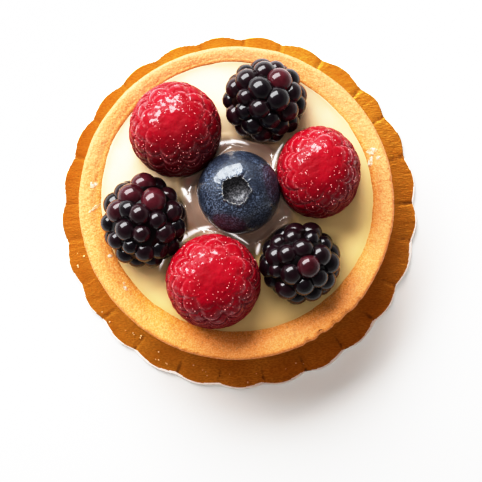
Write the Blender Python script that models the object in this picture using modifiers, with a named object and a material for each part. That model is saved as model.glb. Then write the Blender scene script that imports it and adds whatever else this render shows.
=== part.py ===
"""A single-portion fruit tart: a smooth sweet-pastry shell filled with pastry cream, three
raspberries and three brambles in a ring round one blueberry, on its scalloped gold card.

Units are metres, +Z is up, and the origin is the middle of the card's underside.
"""

import math

import bmesh
import bpy
from mathutils import Matrix, Vector, noise

GAP = 0.0003  # kept between pieces that rest on or in each other

# The card: a flat disc whose rim is pressed into lobes and turned up a little.
CARD_LOBES = 25
CARD_FIRST_LOBE = math.radians(10.7)
CARD_RADIUS = 0.0400
CARD_THICKNESS = 0.0006
CARD_FLAT_RADIUS = 0.0330
CARD_RIM_RISE = 0.0014
CARD_NOTCH_DEPTH = 0.0010
CARD_FLUTE_DEPTH = 0.0007
CARD_STEPS_PER_LOBE = 4

# The pastry shell, with a rounded outer lip, and its hollow a little nearer one side than the other.
SHELL_CENTRE = Vector((-0.0007, 0, CARD_THICKNESS + GAP))
SHELL_HEIGHT = 0.0185
SHELL_TOP_RADIUS = 0.0345
SHELL_BASE_RADIUS = 0.0280
SHELL_FOOT_ROUND = 0.0010
SHELL_LIP = 0.0013
SHELL_FLOOR = 0.0040
SHELL_FLOOR_RADIUS = 0.0255
SHELL_STEPS = 48
HOLLOW_SHIFT = Vector((0.00026, 0.00155, 0))
RIM_WAVE = 0.00025

# The pastry cream, up to a little below the rim.
CREAM_DROP = 0.0016
CREAM_TOP = SHELL_HEIGHT - CREAM_DROP
CREAM_RADIUS = 0.0298
CREAM_LEVEL = SHELL_CENTRE.z + CREAM_TOP

# How deep the berries stand in the cream, and how finely their pockets are rounded.
SINK = 0.0030
POCKET_STEPS = 12

# A beaded berry would be this many times deeper below its widest level if it had no flat foot.
UNDER_SHARE = 1.25

# How its beads are spread evenly, and the angle from the middle of one to its crease when there is one bead.
GOLDEN_ANGLE = math.pi * (3 - math.sqrt(5))
EVENING_ROUNDS = 25
EVENING_STEP = 0.25
BEAD_REACH = 2.25

# Where each berry stands, its two half widths, how far it reaches above and below its widest level, and
# which way its tip leans, as (x, y) of the tip's axis for z = 1.
RASPBERRIES = (
    {"at": (-0.0141, 0.0155), "half": (0.0104, 0.0106), "up": 0.0118, "down": 0.0072, "lean": (-0.10, 0.06)},
    {"at": (0.0171, 0.0061), "half": (0.0097, 0.0103), "up": 0.0112, "down": 0.0072, "lean": (0.05, 0.02)},
    {"at": (-0.0056, -0.0179), "half": (0.0107, 0.0107), "up": 0.0120, "down": 0.0074, "lean": (0.02, 0.08)},
)
BRAMBLES = (
    {"at": (0.0056, 0.0218), "half": (0.0097, 0.0095), "up": 0.0108, "down": 0.0078, "lean": (-0.12, -0.45)},
    {"at": (-0.0208, -0.0047), "half": (0.0097, 0.0107), "up": 0.0102, "down": 0.0076, "lean": (-0.1, -0.35)},
    {"at": (0.0132, -0.0136), "half": (0.0092, 0.0093), "up": 0.0104, "down": 0.0076, "lean": (0.25, -0.20)},
)
RASPBERRY_BEADS = 94
RASPBERRY_RELIEF = 0.0009
BRAMBLE_BEADS = 54
BRAMBLE_RELIEF = 0.0015

BLUEBERRY_AT = (-0.0002, 0.0018)
BLUEBERRY_RADIUS = 0.0091
BLUEBERRY_HALF_HEIGHT = 0.0077
BLUEBERRY_LEAN = (0.07, -0.05)
CALYX_RADIUS = 0.0033
CALYX_DEPTH = 0.0017
SEPALS = 5
SEPAL_RISE = 0.0005

COLOURS = {
    "gold_card": ((0.80, 0.42, 0.07), 0.30, 0.9),
    "baked_crust": ((0.80, 0.52, 0.22), 0.75, 0.0),
    "pastry_cream": ((0.93, 0.80, 0.52), 0.35, 0.0),
    "raspberry_red": ((0.55, 0.01, 0.03), 0.25, 0.0),
    "bramble_black": ((0.03, 0.01, 0.02), 0.20, 0.0),
    "blueberry_blue": ((0.06, 0.07, 0.12), 0.45, 0.0),
}


def clear_scene():
    for obj in list(bpy.data.objects):
        bpy.data.objects.remove(obj)


def new_collection(name):
    collection = bpy.data.collections.new(name)
    bpy.context.scene.collection.children.link(collection)
    return collection


def make_material(name):
    colour, roughness, metallic = COLOURS[name]
    material = bpy.data.materials.new(name)
    material.use_nodes = True
    shader = material.node_tree.nodes["Principled BSDF"]
    shader.inputs["Base Color"].default_value = (*colour, 1)
    shader.inputs["Roughness"].default_value = roughness
    shader.inputs["Metallic"].default_value = metallic
    return material


def object_from(bm, name, collection, material):
    """Puts a bmesh into a new named object, with its faces pointing outwards and shaded smooth."""
    bmesh.ops.recalc_face_normals(bm, faces=bm.faces)
    mesh = bpy.data.meshes.new(name)
    bm.to_mesh(mesh)
    bm.free()
    mesh.materials.append(material)
    mesh.shade_smooth()
    obj = bpy.data.objects.new(name, mesh)
    collection.objects.link(obj)
    return obj


def turned(name, profile, steps, collection, material):
    """A solid turned about Z from a profile of (radius, height) that ends on the axis at both ends."""
    mesh = bpy.data.meshes.new(name)
    points = [(radius, 0, height) for radius, height in profile]
    mesh.from_pydata(points, [(i, i + 1) for i in range(len(points) - 1)], [])
    obj = bpy.data.objects.new(name, mesh)
    collection.objects.link(obj)
    screw = obj.modifiers.new("turn", "SCREW")
    screw.steps = screw.render_steps = steps
    screw.use_merge_vertices = True
    screw.merge_threshold = 0.00001
    bpy.context.view_layer.update()
    evaluated = obj.evaluated_get(bpy.context.evaluated_depsgraph_get())
    solid = bpy.data.meshes.new_from_object(evaluated)
    solid.name = name
    bpy.data.objects.remove(obj)
    solid.materials.clear()
    solid.materials.append(material)
    solid.shade_smooth()
    obj = bpy.data.objects.new(name, solid)
    collection.objects.link(obj)
    return obj


def arc(centre, radius, start, end, count):
    """Points of a profile along an arc, from one angle in degrees to another."""
    points = []
    for i in range(count):
        angle = math.radians(start + (end - start) * i / (count - 1))
        points.append((centre[0] + radius * math.cos(angle), centre[1] + radius * math.sin(angle)))
    return points


def smooth_step(t):
    t = min(1.0, max(0.0, t))
    return t * t * (3 - 2 * t)


# ---- card ----


def lobe_height(angle):
    """0 in the crease between two lobes, 1 on the middle of a lobe."""
    return abs(math.cos((angle - CARD_FIRST_LOBE) * CARD_LOBES / 2)) ** 0.6


def turn_by(bm, angle):
    bmesh.ops.rotate(bm, verts=bm.verts, cent=(0, 0, 0), matrix=Matrix.Rotation(angle, 3, "Z"))


def make_card(collection):
    """A disc with rings of rim, pressed into lobes. It faces down, and Solidify adds its thickness above."""
    bm = bmesh.new()
    steps = CARD_LOBES * CARD_STEPS_PER_LOBE
    bmesh.ops.create_circle(bm, cap_ends=True, segments=steps, radius=CARD_FLAT_RADIUS)
    turn_by(bm, CARD_FIRST_LOBE)
    edges = [edge for edge in bm.edges if edge.is_boundary]
    for radius in (CARD_FLAT_RADIUS * 0.5 + CARD_RADIUS * 0.5, CARD_RADIUS):
        grown = bmesh.ops.extrude_edge_only(bm, edges=edges)["geom"]
        edges = [item for item in grown if isinstance(item, bmesh.types.BMEdge)]
        for vert in [item for item in grown if isinstance(item, bmesh.types.BMVert)]:
            vert.co = vert.co.normalized() * radius
    for vert in bm.verts:
        angle = math.atan2(vert.co.y, vert.co.x)
        out = (vert.co.length - CARD_FLAT_RADIUS) / (CARD_RADIUS - CARD_FLAT_RADIUS)
        lobe = lobe_height(angle)
        vert.co *= 1 - CARD_NOTCH_DEPTH / CARD_RADIUS * (1 - lobe) * smooth_step(out)
        vert.co.z = out * out * (CARD_RIM_RISE + CARD_FLUTE_DEPTH * (lobe - 0.5)) if out > 0 else 0
    card = object_from(bm, "gold_card", collection, make_material("gold_card"))
    solidify = card.modifiers.new("thickness", "SOLIDIFY")
    solidify.thickness = CARD_THICKNESS
    solidify.offset = -1
    return card


# ---- shell and cream ----


def shell_radius(height):
    """The outer radius of the shell at a height above its base."""
    return SHELL_BASE_RADIUS + (SHELL_TOP_RADIUS - SHELL_BASE_RADIUS) * height / SHELL_HEIGHT


def hollow_radius(height):
    """The radius of the hollow at a height above the shell's base."""
    share = (height - SHELL_FLOOR) / (CREAM_TOP - SHELL_FLOOR)
    return SHELL_FLOOR_RADIUS + (CREAM_RADIUS - SHELL_FLOOR_RADIUS) * share


def lip_and_slope():
    """The rim's profile: up a rounded slope from the cream to the crest, then down round the outer lip."""
    crest = SHELL_TOP_RADIUS - SHELL_LIP
    slope = crest - hollow_radius(CREAM_TOP)
    points = []
    for degrees in (180, 150, 120, 90, 60, 30, 0):
        across, up = math.cos(math.radians(degrees)), math.sin(math.radians(degrees))
        width, height = (slope, CREAM_DROP) if degrees > 90 else (SHELL_LIP, SHELL_LIP)
        points.append((crest + width * across, SHELL_HEIGHT - height * (1 - up)))
    return points


def make_shell(collection):
    """The pastry shell: turned, then its hollow moved off centre and its rim made a little wavy."""
    foot = SHELL_FOOT_ROUND
    profile = [(0, SHELL_FLOOR), (SHELL_FLOOR_RADIUS - foot, SHELL_FLOOR)]
    profile += [(hollow_radius(SHELL_FLOOR + foot), SHELL_FLOOR + foot)]
    profile += lip_and_slope()
    profile += [(shell_radius(foot), foot), (SHELL_BASE_RADIUS - foot, 0), (0, 0)]
    shell = turned("pastry_shell", profile, SHELL_STEPS, collection, make_material("baked_crust"))
    for vert in shell.data.vertices:
        inwards = smooth_step((shell_radius(vert.co.z) - vert.co.to_2d().length) / (2 * SHELL_LIP))
        if vert.co.z > CREAM_TOP:
            vert.co.z += RIM_WAVE * noise.noise(vert.co.to_2d().to_3d() * 60)
        if vert.co.z > SHELL_FLOOR / 2:
            vert.co += HOLLOW_SHIFT * inwards
    shell.location = SHELL_CENTRE
    return shell


def make_cream(collection, cutters, pockets):
    """The cream fills the hollow up to its level, with a pocket where each berry stands."""
    bottom = SHELL_FLOOR + GAP
    corner = SHELL_FOOT_ROUND
    profile = [(0, CREAM_TOP), (hollow_radius(CREAM_TOP) - GAP, CREAM_TOP)]
    profile += [(hollow_radius(bottom + corner) - GAP, bottom + corner)]
    profile += [(SHELL_FLOOR_RADIUS - corner - GAP, bottom), (0, bottom)]
    cream = turned("pastry_cream", profile, SHELL_STEPS, collection, make_material("pastry_cream"))
    cream.location = SHELL_CENTRE + HOLLOW_SHIFT
    for number, (middle, half) in enumerate(pockets, 1):
        cutter = make_pocket(f"pocket_{number}", middle, half, cutters, cream.data.materials[0])
        cut = cream.modifiers.new(cutter.name, "BOOLEAN")
        cut.operation = "DIFFERENCE"
        cut.object = cutter
    return cream


def make_pocket(name, middle, half, cutters, material):
    """A ball a gap larger than a berry, cut flat a gap below the berry's foot."""
    bm = bmesh.new()
    bmesh.ops.create_uvsphere(bm, u_segments=POCKET_STEPS, v_segments=POCKET_STEPS, radius=1)
    bmesh.ops.scale(bm, vec=[size + GAP for size in half], verts=bm.verts)
    bmesh.ops.translate(bm, vec=middle, verts=bm.verts)
    everything = bm.verts[:] + bm.edges[:] + bm.faces[:]
    foot = Vector((0, 0, CREAM_LEVEL - SINK - GAP))
    bmesh.ops.bisect_plane(bm, geom=everything, plane_co=foot, plane_no=(0, 0, -1), clear_outer=True)
    bmesh.ops.holes_fill(bm, edges=[edge for edge in bm.edges if edge.is_boundary])
    cutter = object_from(bm, name, cutters, material)
    cutter.hide_render = True
    cutter.display_type = "WIRE"
    return cutter


# ---- berries ----


def bead_directions(count):
    """Directions spread over a sphere along a spiral from the tip at +Z down, then evened out."""
    found = []
    for i in range(count):
        height = 1 - (2 * i + 1) / count
        across = math.sqrt(1 - height * height)
        turn = i * GOLDEN_ANGLE
        found.append(Vector((across * math.cos(turn), across * math.sin(turn), height)))
    for _ in range(EVENING_ROUNDS):
        found = [pushed_apart(direction, found) for direction in found]
    return found


def pushed_apart(direction, others):
    """The direction, moved a little away from the others near it."""
    push = Vector()
    for other in others:
        apart = direction - other
        if 0 < apart.length < 1.2:
            push += apart / apart.length ** 4
    return (direction + push * EVENING_STEP / len(others) ** 1.5).normalized()


def beaded_ball(beads, rings):
    """A ball with a point on each bead and along each crease, and more points round each bead if asked."""
    bm = bmesh.new()
    bmesh.ops.convex_hull(bm, input=[bm.verts.new(bead) for bead in beads])
    bmesh.ops.subdivide_edges(bm, edges=bm.edges, cuts=1, use_grid_fill=True)
    if rings:
        between = [face for face in bm.faces if not any(on_bead(vert) for vert in face.verts)]
        bmesh.ops.poke(bm, faces=between)
        around = [edge for edge in bm.edges if any(on_bead(vert) for vert in edge.verts)]
        bmesh.ops.subdivide_edges(bm, edges=around, cuts=1, use_grid_fill=True)
    return bm


def on_bead(vert):
    """The beads lie on the unit sphere, and every point between them a little inside it."""
    return vert.co.length > 0.9999


def bead_swell(direction, beads, reach):
    """1 on the middle of the nearest bead, falling to 0 in the crease round it."""
    angle = min(direction.angle(bead, 0) for bead in beads)
    return max(0.0, 1 - (angle / reach) ** 2)


def leaning(lean):
    """The turn that takes +Z to a berry's own axis."""
    return Vector((*lean, 1)).normalized().to_track_quat("Z", "Y").to_matrix()


def widest_level(berry):
    return CREAM_LEVEL - SINK + berry["down"]


def on_body(direction, berry, blunt):
    """Where a direction from the middle meets a berry's smooth body, narrowed towards its top."""
    narrowing = 1 - blunt * max(0.0, direction.z) ** 2
    reach = berry["up"] if direction.z > 0 else berry["down"] * UNDER_SHARE
    half = berry["half"]
    return Vector((direction.x * half[0] * narrowing, direction.y * half[1] * narrowing, direction.z * reach))


def make_beaded_berry(name, berry, beads, relief, rings, blunt, collection, material):
    """A ball pushed into a berry's body and its beads, with a flat foot where it stands in the cream."""
    turn = leaning(berry["lean"])
    directions = [turn @ bead for bead in bead_directions(beads)]
    bm = beaded_ball(directions, rings)
    reach = BEAD_REACH / math.sqrt(beads)
    for vert in bm.verts:
        direction = vert.co.normalized()
        swell = bead_swell(direction, directions, reach)
        body = on_body(direction, berry, blunt)
        vert.co = body * (1 - relief * (1 - swell) / body.length)
    everything = bm.verts[:] + bm.edges[:] + bm.faces[:]
    foot = Vector((0, 0, -berry["down"]))
    bmesh.ops.bisect_plane(bm, geom=everything, plane_co=foot, plane_no=(0, 0, -1), clear_outer=True)
    bmesh.ops.holes_fill(bm, edges=[edge for edge in bm.edges if edge.is_boundary])
    bmesh.ops.dissolve_degenerate(bm, edges=bm.edges, dist=0.00002)
    berry_object = object_from(bm, name, collection, material)
    berry_object.location = (*berry["at"], widest_level(berry))
    return berry_object


def press_in(soft, middle, half):
    """Pushes a soft berry's points out of a firmer neighbour, taken as an ellipsoid a gap larger."""
    axes = Vector([size + GAP for size in half])
    for vert in soft.data.vertices:
        apart = soft.location + vert.co - middle
        scaled = Vector([apart[i] / axes[i] for i in range(3)])
        if scaled.length < 1:
            vert.co += apart * (1 / scaled.length - 1)


def make_blueberry(collection):
    """A flattened ball with a hollow at its top, ringed by five short sepals."""
    top = BLUEBERRY_HALF_HEIGHT
    profile = [(0, top - CALYX_DEPTH), (CALYX_RADIUS * 0.75, top - CALYX_DEPTH)]
    profile += [(CALYX_RADIUS * 0.95, top - 0.0003), (CALYX_RADIUS * 1.12, top)]
    start = math.degrees(math.acos(CALYX_RADIUS * 1.3 / BLUEBERRY_RADIUS))
    for across, up in arc((0, 0), 1, start, -90, 11):
        profile.append((max(0.0, across) * BLUEBERRY_RADIUS, up * BLUEBERRY_HALF_HEIGHT))
    profile[-1] = (0, -BLUEBERRY_HALF_HEIGHT)
    berry = turned("blueberry", profile, 5 * SEPALS, collection, make_material("blueberry_blue"))
    turn = leaning(BLUEBERRY_LEAN)
    for vert in berry.data.vertices:
        radius = vert.co.to_2d().length
        on_sepals = CALYX_RADIUS * 0.85 < radius < CALYX_RADIUS * 1.2 and vert.co.z > 0
        if on_sepals:
            vert.co.z += SEPAL_RISE * math.cos(SEPALS * math.atan2(vert.co.y, vert.co.x))
        vert.co = turn @ vert.co
    berry.location = (*BLUEBERRY_AT, CREAM_LEVEL - SINK + BLUEBERRY_HALF_HEIGHT)
    return berry


def main():
    clear_scene()
    tart = new_collection("fruit_tart")
    cutters = new_collection("cutters")
    make_card(tart)
    make_shell(tart)

    red = make_material("raspberry_red")
    black = make_material("bramble_black")
    blueberry = make_blueberry(tart)
    for number, berry in enumerate(BRAMBLES, 1):
        make_beaded_berry(f"bramble_{number}", berry, BRAMBLE_BEADS, BRAMBLE_RELIEF, True, 0.02, tart, black)
    for number, berry in enumerate(RASPBERRIES, 1):
        name = f"raspberry_{number}"
        soft = make_beaded_berry(name, berry, RASPBERRY_BEADS, RASPBERRY_RELIEF, False, 0.14, tart, red)
        press_in(soft, blueberry.location, (BLUEBERRY_RADIUS, BLUEBERRY_RADIUS, BLUEBERRY_HALF_HEIGHT))
        for firm in BRAMBLES:
            middle = Vector((*firm["at"], widest_level(firm)))
            press_in(soft, middle, (*firm["half"], firm["up"]))

    pockets = [(blueberry.location, (BLUEBERRY_RADIUS, BLUEBERRY_RADIUS, BLUEBERRY_HALF_HEIGHT))]
    for berry in RASPBERRIES + BRAMBLES:
        middle = Vector((*berry["at"], widest_level(berry)))
        pockets.append((middle, (*berry["half"], berry["down"] * UNDER_SHARE)))
    make_cream(tart, cutters, pockets)


main()
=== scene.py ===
import math
import random

import bmesh
import bpy
import numpy as np
from mathutils import Matrix, Vector, noise


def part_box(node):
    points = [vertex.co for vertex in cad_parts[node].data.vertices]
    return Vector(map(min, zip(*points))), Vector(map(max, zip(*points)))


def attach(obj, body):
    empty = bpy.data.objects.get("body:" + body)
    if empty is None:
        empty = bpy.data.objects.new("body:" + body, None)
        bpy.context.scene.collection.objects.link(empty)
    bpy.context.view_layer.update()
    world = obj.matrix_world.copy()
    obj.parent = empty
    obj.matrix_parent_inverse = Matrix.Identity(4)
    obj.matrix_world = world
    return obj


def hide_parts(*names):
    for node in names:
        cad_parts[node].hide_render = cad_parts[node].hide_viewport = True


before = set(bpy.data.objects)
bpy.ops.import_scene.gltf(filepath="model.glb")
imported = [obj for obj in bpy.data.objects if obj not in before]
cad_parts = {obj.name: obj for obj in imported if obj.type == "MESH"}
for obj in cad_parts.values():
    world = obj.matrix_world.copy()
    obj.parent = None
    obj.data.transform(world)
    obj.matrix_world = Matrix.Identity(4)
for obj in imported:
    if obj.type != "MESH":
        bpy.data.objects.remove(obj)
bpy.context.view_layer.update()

print("frame loaded, nodes:", len(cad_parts))


def easeStep(value, start, end):
    share = np.clip((value - start) / (end - start), 0.0, 1.0)
    return share * share * (3.0 - 2.0 * share)


def addPiece(name, bm, materials, nodes=(), sharpAngle=None):
    mesh = bpy.data.meshes.new(name)
    bm.to_mesh(mesh)
    bm.free()
    for material in materials:
        mesh.materials.append(material)
    mesh.shade_smooth()
    if sharpAngle:
        mesh.set_sharp_from_angle(angle=math.radians(sharpAngle))
    piece = bpy.data.objects.new(name, mesh)
    bpy.context.scene.collection.objects.link(piece)
    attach(piece, "root")
    if nodes:
        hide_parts(*nodes)
    print("made", name, len(mesh.polygons), "faces")
    return piece


def spinProfile(points, steps, layerName="inward"):
    # points are (radius, height, share); the share rides along in a float layer
    bm = bmesh.new()
    layer = bm.verts.layers.float.new(layerName)
    verts = []
    for radius, height, share in points:
        vert = bm.verts.new((radius, 0.0, height))
        vert[layer] = share
        verts.append(vert)
    edges = [bm.edges.new(pair) for pair in zip(verts, verts[1:])]
    bmesh.ops.spin(bm, geom=verts + edges, cent=(0, 0, 0), axis=(0, 0, 1), dvec=(0, 0, 0),
                   angle=2 * math.pi, steps=steps, use_merge=True)
    bmesh.ops.remove_doubles(bm, verts=bm.verts[:], dist=1e-7)
    bmesh.ops.recalc_face_normals(bm, faces=bm.faces[:])
    return bm, layer


def addLayers(bm, *names):
    return [bm.verts.layers.float.new(name) for name in names]


def arcPoints(centre, radii, start, end, steps):
    # points on an elliptical arc in the (radius, height) plane, angles in degrees
    made = []
    for k in range(steps + 1):
        angle = math.radians(start + (end - start) * k / steps)
        made.append((centre[0] + radii[0] * math.cos(angle), centre[1] + radii[1] * math.sin(angle)))
    return made


def linePoints(start, end, steps):
    return [(start[0] + (end[0] - start[0]) * k / steps, start[1] + (end[1] - start[1]) * k / steps)
            for k in range(steps + 1)]


def feed(tree, node, inputs):
    # another node's output is linked, a plain value is set on the socket itself
    for socket, value in inputs.items():
        if isinstance(value, bpy.types.NodeSocket):
            tree.links.new(value, node.inputs[socket])
        else:
            node.inputs[socket].default_value = value


def addNode(tree, kind, inputs, **settings):
    made = tree.nodes.new(kind)
    for key, value in settings.items():
        setattr(made, key, value)
    feed(tree, made, inputs)
    return made


def newMaterial(name):
    material = bpy.data.materials.new(name)
    material.use_nodes = True
    tree = material.node_tree
    shader = tree.nodes["Principled BSDF"]
    place = tree.nodes.new("ShaderNodeTexCoord").outputs["Object"]
    return material, tree, shader, place


def mixColor(tree, factor, first, second):
    return addNode(tree, "ShaderNodeMix", {0: factor, 6: first, 7: second}, data_type="RGBA").outputs[2]


def combine(tree, operation, *values):
    return addNode(tree, "ShaderNodeMath", dict(enumerate(values)), operation=operation).outputs[0]


def spread(tree, mask, low, high):
    # a mask from 0 to 1 stretched to run from low to high
    made = addNode(tree, "ShaderNodeMapRange", {"Value": mask, "To Min": low, "To Max": high})
    return made.outputs["Result"]


def softRange(tree, value, start, end, low=0.0, high=1.0):
    made = addNode(tree, "ShaderNodeMapRange", {"Value": value, "From Min": start, "From Max": end,
                   "To Min": low, "To Max": high}, interpolation_type="SMOOTHSTEP")
    return made.outputs["Result"]


def newGroup(name, inputs, outputs):
    group = bpy.data.node_groups.new(name, "ShaderNodeTree")
    for label, kind, value in inputs:
        socket = group.interface.new_socket(name=label, in_out="INPUT", socket_type=kind)
        if value is not None:
            socket.default_value = value
    for label, kind in outputs:
        group.interface.new_socket(name=label, in_out="OUTPUT", socket_type=kind)
    return group, group.nodes.new("NodeGroupInput"), group.nodes.new("NodeGroupOutput")


def makeSpeckGroup():
    # noise cut between two levels: a soft or hard scatter of specks
    group, enter, leave = newGroup("specks", (
        ("Vector", "NodeSocketVector", None), ("Scale", "NodeSocketFloat", 500.0),
        ("Detail", "NodeSocketFloat", 3.0), ("Low", "NodeSocketFloat", 0.45),
        ("High", "NodeSocketFloat", 0.65)), (("Mask", "NodeSocketFloat"),))
    clouds = addNode(group, "ShaderNodeTexNoise", {"Vector": enter.outputs["Vector"],
                     "Scale": enter.outputs["Scale"], "Detail": enter.outputs["Detail"]})
    cut = softRange(group, clouds.outputs["Fac"], enter.outputs["Low"], enter.outputs["High"])
    group.links.new(cut, leave.inputs["Mask"])
    return group


def makeReliefGroup():
    # two noises of unlike size added up, as the height for a bump
    group, enter, leave = newGroup("relief", (
        ("Vector", "NodeSocketVector", None), ("Coarse", "NodeSocketFloat", 400.0),
        ("Fine", "NodeSocketFloat", 2500.0), ("Fine Share", "NodeSocketFloat", 0.3)),
        (("Height", "NodeSocketFloat"),))
    coarse = addNode(group, "ShaderNodeTexNoise", {"Vector": enter.outputs["Vector"],
                     "Scale": enter.outputs["Coarse"], "Detail": 2.0})
    fine = addNode(group, "ShaderNodeTexNoise", {"Vector": enter.outputs["Vector"],
                   "Scale": enter.outputs["Fine"], "Detail": 2.0})
    both = combine(group, "MULTIPLY_ADD", fine.outputs["Fac"], enter.outputs["Fine Share"],
                   coarse.outputs["Fac"])
    group.links.new(both, leave.inputs["Height"])
    return group


specks = makeSpeckGroup()
relief = makeReliefGroup()


def addSpecks(tree, place, scale, low, high, detail=3.0):
    made = addNode(tree, "ShaderNodeGroup", {}, node_tree=specks)
    feed(tree, made, {"Vector": place, "Scale": scale, "Low": low, "High": high, "Detail": detail})
    return made.outputs["Mask"]


def addRelief(tree, shader, place, coarse, fine, fineShare, strength, distance):
    made = addNode(tree, "ShaderNodeGroup", {}, node_tree=relief)
    feed(tree, made, {"Vector": place, "Coarse": coarse, "Fine": fine, "Fine Share": fineShare})
    bump = addNode(tree, "ShaderNodeBump", {"Strength": strength, "Distance": distance,
                   "Height": made.outputs["Height"]})
    tree.links.new(bump.outputs["Normal"], shader.inputs["Normal"])


def attribute(tree, name):
    return addNode(tree, "ShaderNodeAttribute", {}, attribute_name=name).outputs["Fac"]


# the gold card
cardLook = {
    "lobes": 25,
    "firstLobe": math.radians(10.7),
    "flatRadius": 0.0330,
    "thickness": 0.00042,
    "rimRise": 0.0008,
    "notchDepth": 0.0010,
    "fluteDepth": 0.0003,
    "creaseDepth": 0.00012,
    "creaseWidth": math.radians(0.7),
    "foldWidth": math.radians(0.45),
    "wrinkle": 0.00004,
    "gather": 0.00005,          # fine radial wrinkles beside the creases
    "trim": 0.00016,            # kept clear of the card's own box all round
    "stepsPerLobe": 30,
    "rings": 48,
    "bareRings": 2.2,           # how much plain board shows at the edge, in rings
    "sideShade": 0.55,            # painted shade: how much browner and darker the foil is painted to the left and right
    "wornTurn": math.radians(125),      # the notches are flattened on this side, by this share
    "wornShare": 0.5,
    "seed": 5,
}


def makeGoldFoil():
    material, tree, shader, place = newMaterial("goldFoil")
    brushed = addNode(tree, "ShaderNodeMapping", {"Vector": place, "Scale": (0.35, 1.0, 1.0)}).outputs[0]
    cloud = addSpecks(tree, place, 110.0, 0.35, 0.7)
    grain = addSpecks(tree, brushed, 4200.0, 0.38, 0.64, 2.0)
    worn = addSpecks(tree, place, 900.0, 0.36, 0.56, 2.0)
    tone = mixColor(tree, cloud, (0.55, 0.275, 0.028, 1), (0.68, 0.380, 0.050, 1))
    tone = mixColor(tree, combine(tree, "MULTIPLY", grain, 0.6), tone, (0.40, 0.15, 0.006, 1))
    # painted shade: browner, darker foil to the left and right
    tone = mixColor(tree, attribute(tree, "sideShade"), tone, (0.28, 0.085, 0.004, 1))
    # painted shade along the folds, broken up by a speck mask
    fold = combine(tree, "MULTIPLY", attribute(tree, "fold"), worn)
    tone = mixColor(tree, fold, tone, (0.12, 0.035, 0.002, 1))
    feed(tree, shader, {"Base Color": tone, "Roughness": spread(tree, grain, 0.34, 0.50), "Metallic": 0.72})
    addRelief(tree, shader, brushed, 900.0, 3600.0, 0.8, 0.30, 0.0002)
    return material


def makeCardBoard():
    material, tree, shader, place = newMaterial("greyBoard")
    fibre = addSpecks(tree, place, 1500.0, 0.3, 0.75)
    tone = mixColor(tree, fibre, (0.90, 0.80, 0.74, 1), (0.96, 0.90, 0.86, 1))
    feed(tree, shader, {"Base Color": tone, "Roughness": 0.8})
    addRelief(tree, shader, place, 900.0, 3000.0, 0.5, 0.2, 0.0002)
    return material


def makeCard():
    look = cardLook
    low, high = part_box("gold_card")
    radius = max(high.x, -low.x) - look["trim"]
    inner = look["flatRadius"]
    points = [(inner * k / 14, 0.0, 0.0) for k in range(15)]
    step = (radius - inner) / look["rings"]
    points += [(inner + step * k, 0.0, 0.0) for k in range(1, look["rings"] + 1)]
    bm, layer = spinProfile(points, look["lobes"] * look["stepsPerLobe"])
    foldShadeLayer, sideShadeLayer = addLayers(bm, "fold", "sideShade")
    dice = random.Random(look["seed"])
    depths = [dice.uniform(0.60, 1.0) for _ in range(look["lobes"])]
    turns = [dice.uniform(-0.10, 0.10) for _ in range(look["lobes"])]
    for vert in bm.verts:
        reach = math.hypot(vert.co.x, vert.co.y)
        angle = math.atan2(vert.co.y, vert.co.x)
        out = max((reach - inner) / (radius - inner), 0.0)
        # painted shade: the foil is painted browner and darker to the left and right
        vert[sideShadeLayer] = look["sideShade"] * max(math.cos(angle) ** 2 - 0.1 * math.sin(angle), 0.0)
        ease = out * out * (3 - 2 * out)
        phase = (angle - look["firstLobe"]) * look["lobes"] / (2 * math.pi)
        notch = math.floor(phase) % look["lobes"]      # the notch after lobe number `notch`
        phase += turns[notch] * math.sin(math.pi * (phase % 1.0))
        lobe = (0.5 + 0.5 * math.cos(phase * 2 * math.pi)) ** 0.6
        depth = depths[notch]
        worn = 1 - look["wornShare"] * easeStep(math.cos(angle - look["wornTurn"]), 0.0, 0.8)
        scale = 1 - look["notchDepth"] * depth * worn / radius * (1 - lobe) * ease
        rise = out * out * (look["rimRise"] + look["fluteDepth"] * depth * (lobe - 0.5))
        fold = (phase % 1.0 - 0.5) * 2 * math.pi / look["lobes"]
        reachIn = easeStep(out, 0.10 + 0.5 * (1 - depth), 0.75)
        crease = math.exp(-(fold / look["creaseWidth"]) ** 2) * reachIn * (2 * depth - 1.1)
        beside = math.exp(-(fold / look["creaseWidth"] / 3) ** 2) * reachIn * depth
        crinkle = noise.noise(Vector((vert.co.x * 260, vert.co.y * 260, 0.0)))
        crinkle += 0.6 * noise.noise(Vector((angle * 60, reach * 160, 3.0)))
        crinkle = crinkle * look["wrinkle"] * (0.3 + ease)
        crinkle += look["gather"] * beside * noise.noise(Vector((angle * 110, reach * 90, 5.0)))
        height = rise - look["creaseDepth"] * crease + crinkle
        # painted shade: a dark line along each fold, stronger on the side turned away from the window
        line = math.exp(-(fold / look["foldWidth"]) ** 2) * reachIn * (0.6 + 0.4 * depth)
        shaded = easeStep(math.cos(angle + math.radians(45)), -0.6, 0.5)
        vert[foldShadeLayer] = float(line * (0.35 + 0.65 * shaded))
        vert.co.x *= scale
        vert.co.y *= scale
        vert.co.z = look["thickness"] + max(height, 0.0)
    if sum(face.normal.z for face in bm.faces) < 0:
        bmesh.ops.reverse_faces(bm, faces=bm.faces[:])
    for face in bm.faces:       # the foil stops just short of the cut edge, more so on one side
        middle = face.calc_center_median()
        bare = step * look["bareRings"] * easeStep(-middle.y + 0.4 * middle.x, -0.012, 0.026)
        angle = math.atan2(middle.y, middle.x)
        phase = (angle - look["firstLobe"]) * look["lobes"] / (2 * math.pi)
        lobe = (0.5 + 0.5 * math.cos(phase * 2 * math.pi)) ** 0.6
        edge = radius - look["notchDepth"] * 0.8 * (1 - lobe)
        if math.hypot(middle.x, middle.y) > edge - bare:
            face.material_index = 1
    card = addPiece("goldCard", bm, (makeGoldFoil(), makeCardBoard()), ["gold_card"], 50)
    wall = card.modifiers.new("thickness", "SOLIDIFY")
    wall.thickness = look["thickness"]
    wall.offset = -1
    wall.use_even_offset = False
    wall.material_offset = 1
    wall.material_offset_rim = 1
    return card


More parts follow.
